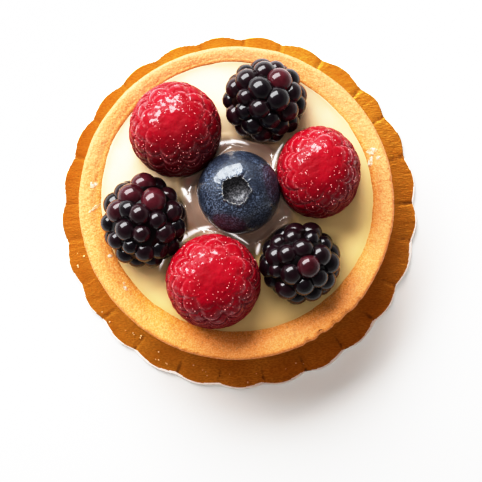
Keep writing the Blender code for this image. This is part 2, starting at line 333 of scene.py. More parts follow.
# the baked crust
crustLook = {
    "topRadius": 0.0345,
    "footRadius": 0.0280,
    "footRound": 0.0012,
    "lip": 0.0008,
    "crestIn": 0.0008,          # crest's distance in from the outer wall
    "slopeFoot": 0.0296,        # radius where the slope turns down into the hollow
    "bandDrop": 0.00045,        # the band's fall from the crest to its rounded inner edge
    "edgeRound": 0.0013,
    "southShade": 0.62,         # painted shade in front; then the bake's own random patches; then down the slope, partly a deeper bake and partly painted shade
    "patchBrown": 0.16,
    "slopeBrownAndShade": 0.30,
    "southDip": 0.0008,         # the band slopes further inwards on the south side
    "slopeBelow": 0.0004,       # how far the rounding goes on under the cream's edge
    "bulge": (48, 28, 0.0013),  # where the band is wider: direction, half width (degrees), how much
    "hollowBase": 0.0255,
    "floor": 0.0040,
    "steps": 620,
    "wave": 0.00022,
    "wobble": 0.00012,
    "lump": 0.00009,
    "grain": 0.00004,
    # chips broken off the outer lip: where (degrees), how wide (degrees), how deep
    "chips": ((-46, 2.0, 0.00035), (-51, 1.2, 0.00030), (-57.5, 1.6, 0.00045),
              (-63, 1.4, 0.00030), (-39, 1.0, 0.00020), (-112, 0.8, 0.00015), (8, 0.9, 0.00015)),
}


def makeBakedCrust():
    material, tree, shader, place = newMaterial("bakedPastry")
    patch = addSpecks(tree, place, 230.0, 0.38, 0.68, 4.0)
    sand = addSpecks(tree, place, 3000.0, 0.42, 0.62, 3.0)
    pits = addSpecks(tree, place, 1700.0, 0.56, 0.68, 2.0)
    tone = mixColor(tree, patch, (0.76, 0.275, 0.108, 1), (0.73, 0.233, 0.075, 1))
    tone = mixColor(tree, attribute(tree, "lip"), tone, (0.74, 0.265, 0.112, 1))
    # the browning mask is partly the bake's own patches and partly painted shade, in front and down the
    # inner slope
    tone = mixColor(tree, attribute(tree, "browningAndShade"), tone, (0.74, 0.260, 0.008, 1))
    # painted shade at the crust's inner edge by the cream
    tone = mixColor(tree, attribute(tree, "shoreShade"), tone, (0.42, 0.17, 0.035, 1))
    tone = mixColor(tree, combine(tree, "MULTIPLY", sand, 0.42), tone, (0.95, 0.51, 0.21, 1))
    tone = mixColor(tree, combine(tree, "MULTIPLY", pits, 0.45), tone, (0.42, 0.13, 0.016, 1))
    feed(tree, shader, {"Base Color": tone, "Roughness": 0.62})
    addRelief(tree, shader, place, 1300.0, 3400.0, 0.8, 0.45, 0.0003)
    return material


def bandBulge(angle):
    turn, width, depth = crustLook["bulge"]
    gap = (math.degrees(angle) - turn + 180) % 360 - 180
    return depth * math.exp(-(gap / width) ** 2)


def crustProfile(look, bottom, top, creamLevel):
    # up the outer wall, over the lip, down the slope and across the hollow's floor
    lip = look["lip"]
    crest = look["topRadius"] - look["crestIn"]
    slopeEnd = creamLevel - look["slopeBelow"]
    edge = look["slopeFoot"] + look["edgeRound"]
    edgeTop = top - look["bandDrop"]
    outer = linePoints((0.0, bottom), (look["footRadius"] - look["footRound"], bottom), 8)
    outer += arcPoints((look["footRadius"] - look["footRound"], bottom + look["footRound"]),
                       (look["footRound"], look["footRound"]), -85, -8, 6)
    outer += linePoints((look["footRadius"] + 0.0003, bottom + look["footRound"]),
                        (look["topRadius"], top - lip), 36)[1:]
    outer += arcPoints((crest, top - lip), (look["crestIn"], lip), 8, 90, 12)
    inner = [(crest + (edge - crest) * k / 20, top - look["bandDrop"] * (k / 20) ** 1.7)
             for k in range(1, 21)]
    inner += arcPoints((edge, slopeEnd), (look["edgeRound"], edgeTop - slopeEnd), 97, 180, 16)
    wallFoot = (look["hollowBase"] + 0.0006, bottom + look["floor"] + 0.0006)
    inner += linePoints((look["slopeFoot"], slopeEnd), wallFoot, 8)[1:]
    inner += linePoints((look["hollowBase"], bottom + look["floor"]), (0.0, bottom + look["floor"]), 6)
    ramp = crest - look["slopeFoot"]
    points = [(r, z, 0.0) for r, z in outer]
    points += [(r, z, min((crest - r) / ramp, 1.0)) for r, z in inner]
    return points


def makeCrust():
    look = crustLook
    low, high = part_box("pastry_shell")
    creamLow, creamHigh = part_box("pastry_cream")
    middle = (low + high) / 2
    hollow = (creamLow + creamHigh) / 2
    shift = Vector((hollow.x - middle.x, hollow.y - middle.y, 0.0))
    bottom, top = low.z, high.z - look["wave"]
    profile = crustProfile(look, bottom, top, creamHigh.z + creamLook["edgeRise"])
    bm, layer = spinProfile(profile, look["steps"])
    lipLayer, brownShadeLayer, shoreShadeLayer = addLayers(bm, "lip", "browningAndShade", "shoreShade")
    crest = look["topRadius"] - look["crestIn"]
    for vert in bm.verts:
        reach = math.hypot(vert.co.x, vert.co.y)
        angle = math.atan2(vert.co.y, vert.co.x)
        share = vert[layer]
        height = (vert.co.z - bottom) / (top - bottom)
        normal = vert.normal.copy()
        spot = vert.co.copy()
        around = Vector((math.cos(angle), math.sin(angle), 0.0))
        if height > 0.5:
            spot.z += look["wave"] * noise.noise(around * 2.1 + Vector((4, 0, 0))) * (height - 0.5) * 2
        wobble = look["wobble"] * noise.noise(around * 4 + Vector((0, 7, height)))
        spot += around * wobble * min(reach / 0.02, 1)
        ripple = noise.noise(spot * 240) * look["lump"] + noise.noise(spot * 520) * look["lump"] * 0.5
        ripple += noise.noise(spot * 1500) * look["grain"]
        if height > 0.02:
            spot += normal * ripple
        if share == 0.0 and height > 0.8:
            for turn, width, depth in look["chips"]:
                gap = (math.degrees(angle) - turn + 180) % 360 - 180
                bite = math.exp(-(gap / width) ** 4) * depth * (height - 0.8) / 0.2
                spot -= around * bite
        spot -= around * bandBulge(angle) * easeStep(share, 0.25, 0.95) * min(reach / 0.02, 1)
        outside = easeStep(reach, crest - 0.0006, crest + 0.0006) * easeStep(height, 0.80, 0.97)
        vert[lipLayer] = float(outside)
        foot = 1 - easeStep(height, 0.0, 0.35)
        deep = easeStep(share, 0.50, 0.95)
        south = 0.5 - 0.5 * math.sin(angle)
        patch = noise.noise(around * 3 + Vector((0, 0, height * 3)))
        # painted shade: the front of the crust is painted browner; the random patches are the bake's own
        bakedAndShade = look["southShade"] * south + look["patchBrown"] * patch
        # down the inner slope the colour is partly a deeper bake and partly painted shade, more in front
        # and where the band is wider
        inside = look["slopeBrownAndShade"] + 0.10 * south + 0.25 * bandBulge(angle) / look["bulge"][2]
        bakedAndShade += max(0.5 * foot * (share == 0.0), inside * deep)
        vert[brownShadeLayer] = float(min(max(bakedAndShade, 0.0), 1.0))
        # painted shade where the band turns down into the cream, more in front
        vert[shoreShadeLayer] = float(easeStep(share, 0.70, 1.0) * (0.10 + 0.12 * south))
        spot.z -= look["southDip"] * south * easeStep(share, 0.30, 0.95) * (height > 0.8)
        vert.co = spot + shift * share + Vector((middle.x, middle.y, 0.0))
    return addPiece("tartCrust", bm, (makeBakedCrust(),), ["pastry_shell"])


def surfaceBelow(piece, x, y):
    graph = bpy.context.evaluated_depsgraph_get()
    hit, spot, normal, face = piece.evaluated_get(graph).ray_cast(Vector((x, y, 0.06)), Vector((0, 0, -1)))
    return (spot, normal) if hit else (None, None)


# where the berries stand
def berryPlace(node, waistShare):
    # centre at the widest level, and the half sizes across, up and down
    low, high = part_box(node)
    waist = low.z + (high.z - low.z) * waistShare
    middle = (low + high) / 2
    return {
        "node": node,
        "centre": Vector((middle.x, middle.y, waist)),
        "half": (middle.x - low.x, middle.y - low.y),
        "up": high.z - waist,
        "down": waist - low.z,
    }


raspberryPlaces = [berryPlace("raspberry_%d" % k, 0.385) for k in (1, 2, 3)]
bramblePlaces = [berryPlace("bramble_%d" % k, 0.42) for k in (1, 2, 3)]
blueberryPlace = berryPlace("blueberry", 0.48)


# the pastry cream and the pool of glaze on it
creamLook = {
    "radius": 0.0303,
    "rings": 118,
    "steps": 360,
    "edgeRise": 0.00075,
    "unevenness": 0.00016,
    "poolRadius": 0.0128,
    "poolSoftness": 0.0030,
    "poolLift": 0.0010,
    "climb": 0.0019,
    "climbWidth": 0.0012,
    "gap": 0.00010,
    # painted highlights that also glow: pale ribbons where the glaze climbs, standing in for the window's
    # glint on it: berry, direction and half span in degrees, distance out from the berry, half width, how
    # far the middle bows out
    "ribbons": (("blueberry", 110, 34, 0.0018, 0.00036, 0.0009),
                ("raspberry_3", 128, 40, 0.0015, 0.00048, 0.0002),
                ("raspberry_3", 66, 20, 0.0010, 0.00022, 0.0),
                ("raspberry_2", 158, 22, 0.0006, 0.00030, 0.0),
                ("bramble_2", 34, 11, 0.0014, 0.00050, 0.0),
                ("bramble_3", 160, 8, 0.0006, 0.00035, 0.0)),
}


def makeCreamMaterial():
    material, tree, shader, place = newMaterial("pastryCream")
    cloud = addSpecks(tree, place, 120.0, 0.35, 0.7)
    streaky = addSpecks(tree, place, 1100.0, 0.26, 0.46, 2.0)
    glaze = attribute(tree, "glaze")
    glintRibbon = combine(tree, "MULTIPLY", attribute(tree, "glintRibbon"), streaky)
    tone = mixColor(tree, cloud, (0.86, 0.635, 0.40, 1), (0.89, 0.695, 0.47, 1))
    # painted shade: the cream is painted darker and deeper yellow towards the front right, where the
    # berries shade it
    tone = mixColor(tree, attribute(tree, "warmShade"), tone, (0.82, 0.59, 0.25, 1))
    # painted shade along the cream's edge by the crust, more in front
    tone = mixColor(tree, attribute(tree, "shoreShade"), tone, (0.60, 0.34, 0.09, 1))
    # the glaze pool's tint is partly the glaze's own colour and partly painted shade and reflection of the
    # berries round it
    tint = mixColor(tree, cloud, (0.37, 0.255, 0.19, 1), (0.48, 0.34, 0.265, 1))
    tone = mixColor(tree, glaze, tone, tint)
    # painted highlight: the ribbons are painted near-white and given their own glow
    tone = mixColor(tree, glintRibbon, tone, (0.95, 0.92, 0.90, 1))
    shine = mixColor(tree, glintRibbon, (0, 0, 0, 1), (0.95, 0.90, 0.90, 1))
    feed(tree, shader, {"Base Color": tone, "Emission Color": shine, "Emission Strength": 0.75,
                        "Roughness": spread(tree, glaze, 0.42, 0.12), "Coat Weight": glaze,
                        "Coat Roughness": 0.04, "Subsurface Weight": 0.12,
                        "Subsurface Radius": (0.5, 0.35, 0.18), "Subsurface Scale": 0.003})
    addRelief(tree, shader, place, 500.0, 1800.0, 0.3, 0.08, 0.0002)
    return material


def makeCream():
    look = creamLook
    low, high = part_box("pastry_cream")
    middle = (low + high) / 2
    level = high.z
    radius = look["radius"]
    points = [(radius * k / look["rings"], level, 0.0) for k in range(look["rings"] + 1)]
    points += [(radius - 0.0012, level - 0.0030, 1.0), (0.0250, low.z, 1.0), (0.0, low.z, 1.0)]
    bm, layer = spinProfile(points, look["steps"])
    glazeLayer, warmShadeLayer, glintRibbonLayer, shoreShadeLayer = addLayers(bm, "glaze", "warmShade", "glintRibbon", "shoreShade")
    berries = raspberryPlaces + bramblePlaces + [blueberryPlace]
    tops = [vert for vert in bm.verts if vert[layer] < 0.5]
    flat = np.array([(vert.co.x, vert.co.y) for vert in tops])
    reach = np.hypot(flat[:, 0], flat[:, 1])
    angles = np.arctan2(flat[:, 1], flat[:, 0])
    drawnIn = np.array([bandBulge(angle) for angle in angles]) / radius * (reach / radius) ** 4
    spots = flat * (1 - drawnIn)[:, None] + np.array((middle.x, middle.y))
    fromBlue = np.hypot(spots[:, 0] - blueberryPlace["centre"].x, spots[:, 1] - blueberryPlace["centre"].y)
    wander = np.array([noise.noise(Vector((x * 180, y * 180, 0.5))) for x, y in spots])
    pool = 1 - easeStep(fromBlue + wander * 0.0012, look["poolRadius"] - look["poolSoftness"] / 2,
                        look["poolRadius"] + look["poolSoftness"] / 2)
    climb = np.zeros(len(tops))
    glintRibbon = np.zeros(len(tops))
    ceiling = np.full(len(tops), 1.0)
    for berry in berries:
        across = np.hypot((spots[:, 0] - berry["centre"].x) / berry["half"][0],
                          (spots[:, 1] - berry["centre"].y) / berry["half"][1])
        mean = (berry["half"][0] + berry["half"][1]) / 2
        climb = np.maximum(climb, np.exp(-np.abs(across - 1) * mean / look["climbWidth"]))
        turned = np.degrees(np.arctan2(spots[:, 1] - berry["centre"].y, spots[:, 0] - berry["centre"].x))
        for node, side, span, out, width, bow in look["ribbons"]:
            if node != berry["node"]:
                continue
            off = np.clip(np.abs((turned - side + 180) % 360 - 180) / span, 0, 1)
            middleOf = out + bow * (1 - off ** 2) + wander * 0.0003
            thin = width * (1 - 0.75 * off ** 1.5)
            line = np.exp(-(((across - 1) * mean - middleOf) / thin) ** 2)
            glintRibbon = np.maximum(glintRibbon, line * (1 - easeStep(off, 0.75, 1.0)))
        under = berry["centre"].z - berry["down"] * np.sqrt(np.clip(1 - across ** 2, 0, 1))
        ceiling = np.minimum(ceiling, np.where(across < 1, under - look["gap"], 1.0))
    uneven = np.array([noise.noise(Vector((x * 130, y * 130, 2.5))) for x, y in spots])
    south = 0.5 - 0.5 * np.sin(angles)
    # painted shade: the cream is painted darker near the crust, more in front
    shoreShade = np.exp(-np.maximum(look["radius"] - 0.0009 - reach, 0) / 0.0008) * (0.10 + 0.32 * south)
    edge = np.exp(-np.maximum(radius - 0.0007 - reach, 0) / 0.0016) * (1 - 1.1 * south)
    heights = level + look["unevenness"] * uneven + look["edgeRise"] * edge
    heights = heights + pool * (look["poolLift"] + look["climb"] * climb)
    heights = np.maximum(np.minimum(heights, ceiling), low.z + 0.004)
    for vert, (x, y), height, glaze, pale, edgeShade in zip(tops, spots, heights, pool, glintRibbon, shoreShade):
        vert.co = (x, y, height)
        vert[shoreShadeLayer] = float(edgeShade)
        vert[glazeLayer] = float(glaze)
        vert[glintRibbonLayer] = float(pale)
        # painted shade towards the front right
        vert[warmShadeLayer] = float(easeStep(0.5 * x - y, -0.024, 0.020))
    for vert in bm.verts:
        if vert[layer] > 0.5:
            vert.co.x += middle.x
            vert.co.y += middle.y
    return addPiece("pastryCream", bm, (makeCreamMaterial(),), ["pastry_cream"])


# brambles
brambleLook = {
    "beads": 44,
    "beadRadius": 0.00240,
    "beadShape": ((0.99, 1.09), (1.03, 1.16), (0.96, 1.04)),    # across, along and up
    "core": 1.07,               # the heart, painted near black as shade between the drupelets: its size against the ring of bead centres
    "rounds": 40,
    "push": 0.10,
    "detail": 4,
}

# the drupelets that face up: place across the berry, size, and how red they are
brambleTops = {
    "bramble_1": ((-0.02, 0.66, 1.0, 0.1), (0.36, 0.41, 1.12, 1.0), (-0.44, 0.42, 1.05, 0.1),
                  (-0.11, 0.16, 1.08, 0.0), (-0.48, -0.02, 0.8, 0.1), (0.31, -0.10, 1.12, 0.0),
                  (0.67, 0.13, 0.9, 0.1), (-0.13, -0.33, 0.95, 0.1), (-0.51, -0.36, 0.8, 0.0)),
    "bramble_2": ((-0.29, 0.50, 1.15, 0.7), (0.26, 0.40, 1.12, 1.0), (-0.60, 0.18, 1.05, 0.5),
                  (-0.07, 0.08, 0.98, 0.2), (0.00, 0.80, 1.10, 0.9), (-0.42, -0.24, 0.95, 0.1),
                  (-0.02, -0.34, 0.8, 0.2), (0.36, -0.04, 0.85, 0.1), (0.70, 0.18, 1.0, 0.2),
                  (-0.29, -0.58, 0.8, 0.0), (0.05, -0.70, 0.95, 0.1), (0.60, 0.55, 0.9, 0.3)),
    "bramble_3": ((-0.22, 0.60, 0.85, 0.1), (-0.56, 0.45, 0.85, 0.1), (-0.36, 0.13, 0.9, 0.1),
                  (0.05, 0.28, 0.9, 0.1), (0.52, 0.12, 0.95, 0.1), (0.20, -0.19, 1.0, 0.8),
                  (-0.25, -0.38, 0.95, 0.1), (-0.62, -0.25, 0.75, 0.1), (0.08, -0.64, 0.95, 0.0),
                  (0.45, -0.45, 0.9, 0.0), (0.28, 0.58, 0.75, 0.0), (0.62, 0.45, 0.75, 0.0)),
}


def spiralDirections(count, turn=0.0):
    golden = math.pi * (3 - math.sqrt(5))
    made = []
    for k in range(count):
        height = 1 - 2 * (k + 0.5) / count
        across = math.sqrt(1 - height * height)
        angle = golden * k + turn
        made.append(Vector((across * math.cos(angle), across * math.sin(angle), height)))
    return made


def liftedTop(x, y):
    # where a drupelet seen at (x, y) sits on the berry, allowing for its own height
    reach = min(math.hypot(x, y) / 0.82, 0.999)
    angle = math.atan2(y, x)
    return Vector((reach * math.cos(angle), reach * math.sin(angle), math.sqrt(1 - reach * reach)))


def drupeletDirections(tops, look, seed):
    fixed = [liftedTop(x, y) for x, y, size, red in tops]
    spacing = math.sqrt(4 * math.pi / look["beads"]) * 0.86
    free = [way for way in spiralDirections(look["beads"], seed)
            if all(way.angle(other) > spacing * 0.72 for other in fixed)]
    for _ in range(look["rounds"]):
        moved = []
        for way in free:
            push = Vector()
            for other in fixed + free:
                gap = (way - other).length
                if 1e-6 < gap < 2 * spacing:
                    push += (way - other) / gap * (spacing / gap) ** 2
            moved.append((way + push * look["push"] * spacing * 0.1).normalized())
        free = moved
    return fixed, free


def makeBrambleMaterial():
    material, tree, shader, place = newMaterial("brambleSkin")
    cloud = addSpecks(tree, place, 500.0, 0.3, 0.75)
    core = attribute(tree, "core")
    dark = mixColor(tree, cloud, (0.003, 0.0015, 0.003, 1), (0.008, 0.003, 0.006, 1))
    ripe = mixColor(tree, cloud, (0.045, 0.004, 0.008, 1), (0.085, 0.010, 0.018, 1))
    tone = mixColor(tree, attribute(tree, "red"), dark, ripe)
    # painted shade: the heart shows near black between the drupelets
    tone = mixColor(tree, core, tone, (0.002, 0.001, 0.001, 1))
    feed(tree, shader, {"Base Color": tone, "Roughness": 0.35, "Specular IOR Level": 0.1,
                        "Coat Weight": spread(tree, core, 0.85, 0.15), "Coat Roughness": 0.04})
    addRelief(tree, shader, place, 600.0, 3000.0, 0.3, 0.20, 0.0003)
    return material


def makeBramble(node, place, seed, material):
    look = brambleLook
    dice = random.Random(seed)
    tops = brambleTops[node]
    fixed, free = drupeletDirections(tops, look, seed)
    beads = [(way, size, red) for way, (x, y, size, red) in zip(fixed, tops)]
    beads += [(way, dice.uniform(0.88, 1.04), dice.choice((0.0, 0.0, 0.1, 0.2))) for way in free]
    bm = bmesh.new()
    redLayer, coreLayer = addLayers(bm, "red", "core")
    base = look["beadRadius"]
    reachX, reachY = (half - base for half in place["half"])
    for way, size, red in beads:
        radius = base * size
        rise = (place["up"] - base) if way.z > 0 else (place["down"] - base)
        spot = place["centre"] + Vector((way.x * reachX, way.y * reachY, way.z * rise))
        outward = Vector((way.x / reachX, way.y / reachY, way.z / rise)).normalized()
        turn = outward.to_track_quat("Z", "Y").to_matrix().to_4x4()
        shape = Matrix.Diagonal([radius * dice.uniform(*span) for span in look["beadShape"]] + [1.0])
        spin = Matrix.Rotation(dice.uniform(0, math.pi), 4, "Z")
        made = bmesh.ops.create_icosphere(bm, subdivisions=look["detail"], radius=1.0,
                                          matrix=Matrix.Translation(spot) @ turn @ spin @ shape)
        for vert in made["verts"]:
            vert[redLayer] = red
    core = bmesh.ops.create_icosphere(bm, subdivisions=4, radius=1.0)
    for vert in core["verts"]:
        rise = (place["up"] - base) if vert.co.z > 0 else (place["down"] - base)
        reach = Vector((vert.co.x * reachX, vert.co.y * reachY, vert.co.z * rise))
        vert.co = place["centre"] + reach * look["core"]
        vert[coreLayer] = 1.0
    return addPiece(node.replace("_", ""), bm, (material,), [node])


# raspberries
raspberryLook = {
    "firstRow": 20.0,           # polar angles in degrees
    "rowStep": 11.5,
    "rows": 13,
    "scaleWidth": 25.0,         # how wide each drupelet shows, in degrees round the berry's equator
    "flatness": 2.6,            # exponent of the outline above the waist: 2 is an ellipse
    "topRelief": 0.00006,
    "sideRelief": 0.00050,
    "cap": (24.0, 56.0),        # the glaze fills the creases above, and leaves them open below
    "ridgeSheen": (0.18, 0.13),      # the pale line along each scale, partly pale fuzz and partly painted sheen, weaker on the shaded side: how far in, and its width
    "shadeSides": (1.0, 0.35, 0.15),     # how dark the painted shade is on each berry's side away from the window
    "ripple": 0.00008,
    "wrinkle": 0.00004,
    "detail": 7,
    "specks": 210,
    "speckSize": (0.00007, 0.00015),
    "speckTilts": (20, 28, 36, 43, 50, 57, 64, 71),
}


def drupeletScales(look, ways, seed):
    # rows of drupelets lying over each other like scales: for each direction, how far it is
    # in from its own scale's outer edge (in row steps), and how far off the scale's middle
    dice = random.Random(seed)
    polar = np.degrees(np.arccos(np.clip(ways[:, 2], -1, 1)))
    azimuth = np.arctan2(ways[:, 1], ways[:, 0])
    inward = np.full(len(ways), 9.0)
    across = np.zeros(len(ways))
    taken = np.zeros(len(ways), dtype=bool)
    turn = 0.0
    for row in range(look["rows"]):
        level = look["firstRow"] + row * look["rowStep"]
        count = max(round(360 / look["scaleWidth"] * math.sin(math.radians(min(level, 180 - level)))), 5)
        turn += math.pi / count + dice.uniform(-0.12, 0.12)
        place = (azimuth - turn) / (2 * math.pi) * count
        number = np.floor(place).astype(int) % count
        shove = np.array([dice.uniform(-0.22, 0.22) for _ in range(count)])[number]
        off = (place % 1.0 - 0.5) * 2
        bulge = 0.95 - 0.85 * off ** 2 + shove
        depth = (level - polar) / look["rowStep"] + bulge
        mine = (~taken) & (depth > 0)
        inward[mine] = depth[mine]
        across[mine] = off[mine]
        taken |= mine
    return polar, inward, across


def makeRaspberryMaterial():
    material, tree, shader, place = newMaterial("raspberrySkin")
    cloud = addSpecks(tree, place, 260.0, 0.35, 0.7)
    fuzz = addSpecks(tree, place, 2400.0, 0.40, 0.60, 2.0)
    patchy = addSpecks(tree, place, 820.0, 0.49, 0.58, 3.0)
    tone = mixColor(tree, cloud, (0.235, 0.0005, 0.009, 1), (0.30, 0.0007, 0.013, 1))
    # painted shade in the creases between scales and on each berry's side away from the window
    tone = mixColor(tree, attribute(tree, "crease"), tone, (0.10, 0.0004, 0.004, 1))
    # the pale line is partly the fuzz's own colour and partly painted sheen along each scale's edge
    pale = combine(tree, "MULTIPLY", attribute(tree, "ridgeSheen"), spread(tree, fuzz, 0.12, 1.0))
    tone = mixColor(tree, pale, tone, (0.86, 0.26, 0.28, 1))
    bare = combine(tree, "MULTIPLY_ADD", attribute(tree, "dull"), -1.0, 1.0)
    clear = combine(tree, "MULTIPLY", spread(tree, patchy, 0.06, 1.0), bare)
    feed(tree, shader, {"Base Color": tone, "Roughness": 0.45, "Specular IOR Level": 0.1,
                        "Coat Weight": clear, "Coat Roughness": 0.035, "Coat IOR": 1.55,
                        "Subsurface Weight": 0.12, "Subsurface Radius": (1.0, 0.06, 0.10),
                        "Subsurface Scale": 0.0012})
    addRelief(tree, shader, place, 900.0, 2400.0, 0.30, 0.30, 0.0004)
    return material


def makeRaspberry(node, place, seed, shadeSide, material):
    look = raspberryLook
    bm = bmesh.new()
    bmesh.ops.create_icosphere(bm, subdivisions=look["detail"], radius=1.0)
    ridgeSheenLayer, creaseShadeLayer, dullLayer = addLayers(bm, "ridgeSheen", "crease", "dull")
    ways = np.array([vert.co[:] for vert in bm.verts])
    ways /= np.linalg.norm(ways, axis=1)[:, None]
    polar, inward, across = drupeletScales(look, ways, seed)
    share = easeStep(polar, *look["cap"])
    depth = look["topRelief"] + (look["sideRelief"] - look["topRelief"]) * share
    bead = np.sqrt(np.clip(1 - ((inward - 0.80) / 0.92) ** 2 - (across / 1.10) ** 2, 0, 1))
    lift = depth * (bead - 1)
    below = 1 - 0.8 * easeStep(polar, 66.0, 92.0)
    dark = easeStep(0.3 * ways[:, 0] - ways[:, 1], -0.35, 0.75)
    ridgeAt, ridgeWidth = look["ridgeSheen"]
    ridgeSheen = np.exp(-((inward - ridgeAt) / ridgeWidth) ** 2) * (1 - 0.4 * across ** 2)
    ridgeSheen = ridgeSheen * share * below * (1 - 0.35 * dark)
    # painted shade: darker in the creases between scales, and on the side away from the window
    crease = 1 - easeStep(inward, 0.02, 0.12) + easeStep(inward, 1.1, 1.7) * 0.35
    crease = crease * 0.75 * share + shadeSide * dark
    veil = easeStep(polar, 35.0, 72.0) * (0.35 + 0.55 * dark)
    for vert, way, drop, pale, deep, dull in zip(bm.verts, ways, lift, ridgeSheen, crease, veil):
        vert[ridgeSheenLayer] = float(min(pale, 1.0))
        vert[creaseShadeLayer] = float(min(deep, 1.0))
        vert[dullLayer] = float(dull)
        rise = place["up"] if way[2] > 0 else place["down"]
        size = Vector((place["half"][0], place["half"][1], rise))
        flat = look["flatness"] if way[2] > 0 else 2.0
        swell = (math.hypot(way[0], way[1]) ** flat + abs(way[2]) ** flat) ** (-1 / flat)
        spot = Vector((way[0] * size.x, way[1] * size.y, way[2] * size.z)) * swell
        outward = Vector((way[0] / size.x, way[1] / size.y, way[2] / size.z)).normalized()
        wander = noise.noise(spot * 160 + Vector((seed, 0, 0))) * 0.00018 - 0.00018
        wander += noise.noise(spot * 620 + Vector((0, seed, 0))) * look["ripple"]
        wander += noise.noise(spot * 1500 + Vector((0, 0, seed))) * look["wrinkle"]
        vert.co = place["centre"] + spot + outward * (float(drop) + wander)
    return addPiece(node.replace("_", ""), bm, (material,), [node])


def makeSpeckMaterial():
    material, tree, shader, place = newMaterial("raspberrySpecks")
    cloud = addSpecks(tree, place, 900.0, 0.35, 0.65)
    # the specks' pale colour is a painted glint
    tone = mixColor(tree, cloud, (0.62, 0.10, 0.11, 1), (0.85, 0.42, 0.40, 1))
    feed(tree, shader, {"Base Color": tone, "Roughness": 0.25, "Coat Weight": 0.6, "Coat Roughness": 0.1})
    addRelief(tree, shader, place, 900.0, 3000.0, 0.3, 0.1, 0.0001)
    return material


def makeRaspberrySpecks(berries):
    # the short styles' tips showing through the glaze, their pale colour a painted glint
    look = raspberryLook
    dice = random.Random(41)
    bm = bmesh.new()
    for berry, place in zip(berries, raspberryPlaces):
        for k in range(look["specks"]):
            tilt = math.radians(dice.choice(look["speckTilts"]) + dice.gauss(0, 2.0))
            turn = dice.uniform(0, 2 * math.pi)
            x = place["centre"].x + place["half"][0] * math.sin(tilt) * math.cos(turn)
            y = place["centre"].y + place["half"][1] * math.sin(tilt) * math.sin(turn)
            spot, normal = surfaceBelow(berry, x, y)
            if spot is None:
                continue
            size = dice.uniform(*look["speckSize"])
            stretch = Matrix.Diagonal((size * dice.uniform(0.7, 1.5), size * dice.uniform(0.7, 1.0),
                                       size * 0.8, 1.0))
            bmesh.ops.create_icosphere(bm, subdivisions=2, radius=1.0,
                                       matrix=Matrix.Translation(spot + normal * size * 0.2)
                                       @ normal.to_track_quat("Z", "Y").to_matrix().to_4x4()
                                       @ Matrix.Rotation(dice.uniform(0, 3), 4, "Z") @ stretch)
    return addPiece("raspberrySpecks", bm, (makeSpeckMaterial(),))


# the blueberry
blueberryLook = {
    "crownRadius": 0.0031,
    "crownDepth": 0.0024,
    "crownRise": 0.00030,
    "lobes": 5,
    "steps": 240,
    "flatness": 2.35,           # exponent of the outline: 2 is an ellipse, more is squarer
    "lean": (math.radians(4), math.radians(-4)),
}


def makeBlueberryMaterial():
    material, tree, shader, place = newMaterial("blueberrySkin")
    bloom = addSpecks(tree, place, 2800.0, 0.42, 0.64, 3.0)
    patch = addSpecks(tree, place, 210.0, 0.36, 0.62)
    torn = addSpecks(tree, place, 1500.0, 0.42, 0.58)
    spotty = addSpecks(tree, place, 1300.0, 0.36, 0.52, 2.0)
    crown = attribute(tree, "crown")
    dust = mixColor(tree, patch, (0.032, 0.038, 0.058, 1), (0.130, 0.150, 0.200, 1))
    tone = mixColor(tree, bloom, (0.010, 0.012, 0.022, 1), dust)
    inside = mixColor(tree, bloom, (0.016, 0.015, 0.018, 1), (0.15, 0.14, 0.15, 1))
    tone = mixColor(tree, crown, tone, inside)
    rim = combine(tree, "MULTIPLY", attribute(tree, "sepalEdge"), torn)
    tone = mixColor(tree, rim, tone, (0.26, 0.23, 0.20, 1))
    bare = combine(tree, "MULTIPLY_ADD", crown, -0.8, 1.0)
    clear = combine(tree, "MULTIPLY", spread(tree, spotty, 0.45, 0.85), bare)
    feed(tree, shader, {"Base Color": tone, "Roughness": 0.45, "Coat Weight": clear,
                        "Coat Roughness": 0.06, "Coat Tint": (0.80, 0.90, 1.0, 1)})
    addRelief(tree, shader, place, 700.0, 2800.0, 0.5, 0.16, 0.0002)
    return material


